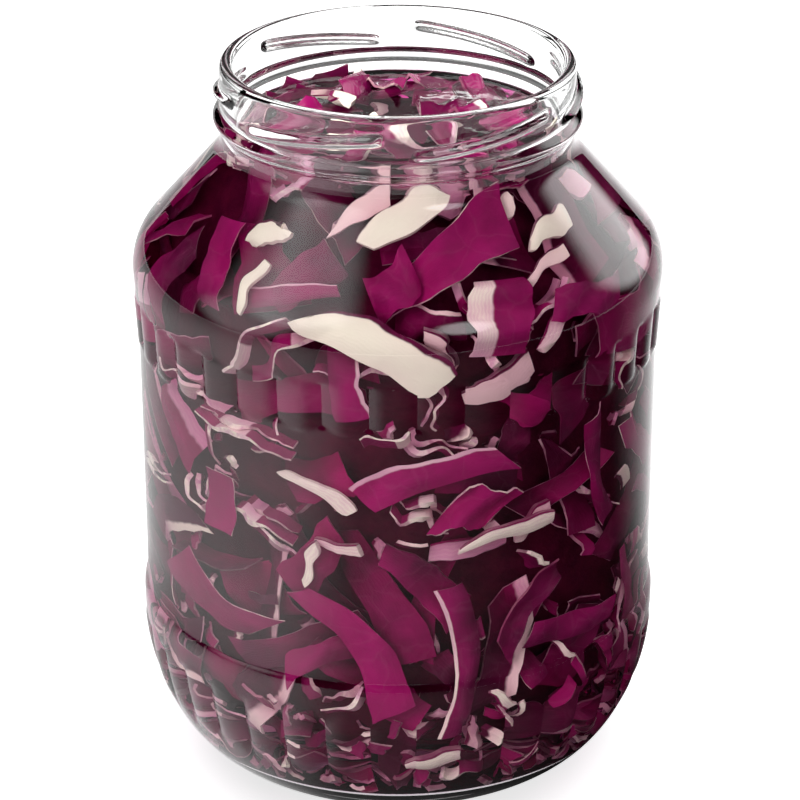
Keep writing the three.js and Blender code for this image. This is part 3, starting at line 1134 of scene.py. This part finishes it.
def lay_bits(packer, count, low, high, sink):
    """Crumbs, most of them towards the bottom."""
    chance = packer.chance
    for _ in range(count):
        up = low + (high - low) * chance.beta(1, sink)
        pale = chance.random() < 0.4
        packer.bit(
            (packer.between(-math.pi, math.pi), up),
            packer.between(0, math.pi),
            packer.between(*BIT_LONG),
            packer.between(*BIT_WIDE),
            packer.between(*BIT_THICK),
            chance.beta(1, 2.5) if pale else chance.beta(1.5, 1.5),
            packer.between(0.5, 1.0) if pale else 0.0,
        )


def lay_top(packer, reach):
    """The top of the heap in the neck, from below upwards."""
    chance = packer.chance
    for k in range(TOP_PIECES):
        away, turn = reach * math.sqrt(chance.random()) * 0.86, packer.between(0, math.tau)
        place = (away * math.cos(turn), away * math.sin(turn))
        length = min(packer.between(*TOP_LONG), 2 * math.sqrt(max(reach**2 - away**2, 30)) - 4)
        if k % TOP_RIB_EVERY == 0:
            packer.rib(
                place, packer.between(0, math.pi), 0.7 * length, packer.between(3, 6),
                packer.between(1.5, 2.6), packer.between(-2, 2), chance.beta(2, 2),
            )  # fmt: skip
            continue
        packer.leaf(
            place,
            packer.between(0, math.pi),
            length,
            packer.between(*TOP_WIDE),
            chance.beta(2.2, 1.5),
            PALE[str(chance.choice(["", "edge", "side"], p=[0.8, 0.1, 0.1]))],
            min(abs(chance.normal(0, 0.35)), 0.9),
            thick=packer.between(*TOP_THICK),
        )


# Operators


class JAR_OT_make_glass(bpy.types.Operator):
    """Turns the glass, then raises its panels and threads"""

    bl_idname = "jar.make_glass"
    bl_label = "Make glass"

    def execute(self, context):
        glass = context.scene.jar_glass
        level = context.scene.jar_brine.level / MM
        profile = np.vstack([outside(glass), inside(glass)[::-1]])
        piece = spun("clear_jar", profile, GLASS_STEPS)
        angle, radius, height = polar(piece)
        bore = inside(glass)
        outer = radius > np.interp(height, bore[3:, 1], bore[3:, 0]) + 0.3 * glass.wall / MM
        crest, valley = panel_weights(angle, height, glass.panels)
        relief(piece, "panel crests", crest * outer, glass.panel_crest)
        relief(piece, "panel valleys", valley * outer, -glass.panel_valley)
        neck = outer & (height > BEAD_AT)
        relief(piece, "threads", thread_weights(angle, height) * neck, glass.thread_rise)
        crease = outer & (valley > 0.5) & (crest < 1e-3)
        for edge in piece.data.edges:
            edge.use_edge_sharp = all(crease[v] for v in edge.vertices)
        finish_piece(
            piece, [glass_finish(glass), wetted_finish(glass)], "glass_jar"
        )
        wet = ~outer & (height < level - 0.3) & (height > FLOOR_EDGE - 0.5)
        for face in piece.data.polygons:
            face.material_index = int(all(wet[v] for v in face.vertices))
        return {"FINISHED"}


class JAR_OT_pack_cabbage(bpy.types.Operator):
    """Lays the shreds behind the glass and on top of the heap, over a dark core"""

    bl_idname = "jar.pack_cabbage"
    bl_label = "Pack cabbage"

    def execute(self, context):
        glass, cabbage = context.scene.jar_glass, context.scene.jar_cabbage
        level = context.scene.jar_brine.level / MM
        chance = np.random.default_rng(cabbage.seed)
        wall = Wall(inside(glass, INSIDE_STEPS))
        heaps = {kind: Heap() for kind in ("leaf", "rib", "ribbon", "bit")}
        packer = Packer(wall, heaps, chance)
        low, high = WALL_LOW, float(np.interp(level - 3, wall.height[100:], wall.up[100:]))
        wall.ceiling = high + 5.0
        lay_front(packer)
        lay_bits(packer, cabbage.bits // 4, low, high, 9.0)
        lay_wall(packer, cabbage, low, high)
        lay_bits(packer, cabbage.bits, low, high, 3.0)
        top = {kind: Heap() for kind in ("leaf", "rib")}
        lay_top(Packer(Dish(CORE_TOP), top, chance), glass.mouth_radius / MM - TOP_GAP)
        skin = cabbage_finish(cabbage, "red cabbage in brine", 0.12, 0.3)
        wet = cabbage_finish(cabbage, "wet red cabbage", 0.25, 0.06)
        for heap, name, material in (
            (heaps["leaf"], "leaf_strips", skin),
            (heaps["rib"], "rib_slices", skin),
            (heaps["ribbon"], "wavy_ribbons", skin),
            (heaps["bit"], "small_bits", skin),
            (top["leaf"], "top_strips", wet),
            (top["rib"], "top_ribs", wet),
        ):
            finish_piece(heap.make(name), [material], "cabbage_heap")
        return {"FINISHED"}


class JAR_OT_shape_core(bpy.types.Operator):
    """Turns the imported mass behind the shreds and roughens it"""

    bl_idname = "jar.shape_core"
    bl_label = "Shape core"

    def execute(self, context):
        glass, cabbage = context.scene.jar_glass, context.scene.jar_cabbage
        wall = Wall(inside(glass, INSIDE_STEPS))
        up = np.linspace(0, wall.up[-1], 90)
        line = wall.point(np.full_like(up, math.pi / 2), up, np.full_like(up, CORE_DEPTH))
        line = np.column_stack([line[:, 0], line[:, 2]])
        line = line[(line[:, 1] < CORE_TOP - 2) & (line[:, 0] > 3)]
        ends = ([(0, line[0][1])], [(line[-1][0] * 0.7, CORE_TOP), (0, CORE_TOP + 1)])
        piece = spun("packed_core", np.vstack([ends[0], line, ends[1]]), CORE_STEPS)
        angle, _, height = polar(piece)
        turn = np.radians(angle)
        lumps = np.sin(9 * turn + 0.11 * height) * np.sin(0.23 * height + 3 * turn)
        relief(piece, "lumps", 0.5 + 0.5 * lumps, -2.5 * MM)
        finish_piece(piece, [core_finish(cabbage)], "cabbage_heap")
        return {"FINISHED"}


class JAR_OT_pour_brine(bpy.types.Operator):
    """Fills the jar with brine that reaches just into the wall"""

    bl_idname = "jar.pour_brine"
    bl_label = "Pour brine"

    def execute(self, context):
        glass, brine = context.scene.jar_glass, context.scene.jar_brine
        level = brine.level / MM
        wall = Wall(inside(glass, INSIDE_STEPS))
        up = np.append(np.arange(0, 60, 6.0), np.arange(60, wall.up[-1], 3.0))
        line = wall.point(np.full_like(up, math.pi / 2), up, np.full_like(up, -BRINE_BITE))
        line = np.column_stack([np.maximum(line[:, 0], 0), line[:, 2]])
        line = line[: np.argmax(line[:, 1] > level - 0.5)]
        edge = glass.mouth_radius / MM
        top = [
            (edge + BRINE_BITE, level + 1.5),
            (edge - 0.5, level + 1.1),
            (edge - 1.2, level + 0.5),
            (edge - 2.4, level + 0.1),
            *((edge * share, level) for share in (0.9, 0.75, 0.6, 0.45, 0.3, 0.15, 0.0)),
        ]
        piece = spun("purple_brine", np.vstack([line, top]), BRINE_STEPS)
        faces = piece.data.polygons
        up = [float(face.center.z > brine.level - 0.2 * MM) for face in faces]
        piece.data.attributes.new("open top", "FLOAT", "FACE").data.foreach_set("value", up)
        finish_piece(piece, [brine_finish(brine)], "cabbage_heap")
        return {"FINISHED"}


# Each softbox: name, place, what it faces, width, height and power, in metres and watts, how
# wide it fans out in degrees, whether it lights the jar alone and not the floor, and whether it
# shows as a reflection.
SOFTBOXES = (
    ("key", (0.62, -1.03, 1.05), (0.0, 0.0, 0.1), 0.7, 0.7, 8.5, 180, True, True),
    ("fill", (-0.7, -0.95, 0.9), (0.0, 0.0, 0.1), 0.8, 0.8, 13.0, 180, True, False),
    ("low", (0.0, -0.7, 0.16), (0.0, 0.0, 0.02), 1.2, 0.25, 3.5, 180, True, False),
    ("left", (-1.05, -0.4, 0.6), (0.0, 0.0, 0.1), 1.2, 1.5, 10.0, 180, True, True),
    ("left top", (-0.66, -0.51, 1.01), (0.0, 0.0, 0.15), 1.0, 1.2, 9.0, 180, True, True),
    ("right rear", (1.0, 0.7, 0.59), (0.0, 0.0, 0.15), 1.2, 1.2, 18.0, 180, True, True),
    ("back", (0.0, 1.6, 0.9), (0.0, 0.0, 0.2), 2.4, 1.4, 2.0, 180, True, True),
    ("overhead", (0.0, 0.35, 1.3), (0.0, 0.35, 0.0), 1.4, 1.0, 10.0, 120, False, True),
)


def soften(lamp):
    """Makes a softbox fade out towards its edge, as a diffuser does."""
    lamp.use_nodes = True
    nodes, links = lamp.node_tree.nodes, lamp.node_tree.links
    place = nodes.new("ShaderNodeNewGeometry")
    away = nodes.new("ShaderNodeVectorMath")
    away.operation = "DISTANCE"
    away.inputs[1].default_value = (0.5, 0.5, 0.0)
    fade = nodes.new("ShaderNodeMapRange")
    fade.interpolation_type = "SMOOTHSTEP"
    fade.inputs["From Min"].default_value = 0.5
    fade.inputs["From Max"].default_value = 0.25
    links.new(place.outputs["Parametric"], away.inputs[0])
    links.new(away.outputs["Value"], fade.inputs["Value"])
    links.new(fade.outputs["Result"], nodes["Emission"].inputs["Strength"])


class JAR_OT_set_stage(bpy.types.Operator):
    """Lays a pale floor and sets soft studio light and the camera"""

    bl_idname = "jar.set_stage"
    bl_label = "Set stage"

    def execute(self, context):
        scene, stage = context.scene, context.scene.jar_stage
        deselect()
        bpy.ops.mesh.primitive_plane_add(size=FLOOR_SIZE)
        floor = context.object
        floor.name = "floor"
        floor.data.materials.append(floor_finish(stage))
        floor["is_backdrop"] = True
        # A card seen only by reflected rays: painted dark reflections of the floor on the glass.
        bpy.ops.mesh.primitive_plane_add(size=CARD_SIZE, location=(0.0, 0.0, CARD_LIFT))
        flag = context.object
        flag.name = "reflection flag"
        flag.data.materials.append(flag_finish())
        for rays in ("camera", "diffuse", "transmission", "volume_scatter", "shadow"):
            setattr(flag, f"visible_{rays}", False)
        flag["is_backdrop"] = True
        jar = bpy.data.collections.new("lit apart from the floor")
        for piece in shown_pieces():
            jar.objects.link(piece)
        for name, place, target, width, height, power, fan, apart, seen in SOFTBOXES:
            turn = (Vector(target) - Vector(place)).to_track_quat("-Z", "Y").to_euler()
            bpy.ops.object.light_add(type="AREA", location=place, rotation=turn)
            lamp = context.object
            lamp.name = f"{name} softbox"
            lamp.data.shape = "RECTANGLE"
            lamp.data.size, lamp.data.size_y = width, height
            lamp.data.energy = power
            lamp.data.spread = math.radians(fan)
            lamp.visible_glossy = seen
            if apart and seen:
                soften(lamp.data)
            if apart:
                lamp.light_linking.receiver_collection = jar
        scene.world = bpy.data.worlds.new("studio")
        scene.world.use_nodes = True
        back = scene.world.node_tree.nodes["Background"]
        back.inputs["Color"].default_value = (1.0, 1.0, 1.0, 1.0)
        back.inputs["Strength"].default_value = stage.surround
        scene.world.cycles_visibility.glossy = False
        bpy.ops.object.camera_add(
            location=stage.camera_place, rotation=(math.pi / 2 - stage.camera_tilt, 0, 0)
        )
        scene.camera = context.object
        scene.camera.data.lens = stage.lens
        scene.camera.data.shift_x = CAMERA_SHIFT
        scene.view_settings.view_transform = "Standard"
        scene.cycles.caustics_reflective = False
        scene.cycles.caustics_refractive = False
        scene.cycles.use_denoising = True
        return {"FINISHED"}


class JAR_PT_tools(bpy.types.Panel):
    """The jar's tools and settings"""

    bl_label = "Jar of red cabbage"
    bl_idname = "JAR_PT_tools"
    bl_space_type = "VIEW_3D"
    bl_region_type = "UI"
    bl_category = "Jar"

    def draw(self, context):
        for operator in OPERATORS:
            self.layout.operator(operator.bl_idname)
        for key, group in SETTINGS.items():
            box = self.layout.box()
            for name in group.__annotations__:
                box.prop(getattr(context.scene, key), name)


OPERATORS = (
    JAR_OT_make_glass,
    JAR_OT_pack_cabbage,
    JAR_OT_shape_core,
    JAR_OT_pour_brine,
    JAR_OT_set_stage,
)
CLASSES = (*SETTINGS.values(), *OPERATORS, JAR_PT_tools)


def register():
    for each in CLASSES:
        bpy.utils.register_class(each)
    for key, group in SETTINGS.items():
        setattr(bpy.types.Scene, key, bpy.props.PointerProperty(type=group))


def unregister():
    for key in SETTINGS:
        delattr(bpy.types.Scene, key)
    for each in reversed(CLASSES):
        bpy.utils.unregister_class(each)


def main():
    register()
    bpy.ops.jar.make_glass()
    bpy.ops.jar.pack_cabbage()
    bpy.ops.jar.shape_core()
    bpy.ops.jar.pour_brine()
    bpy.ops.jar.set_stage()


if __name__ == "__main__":
    main()
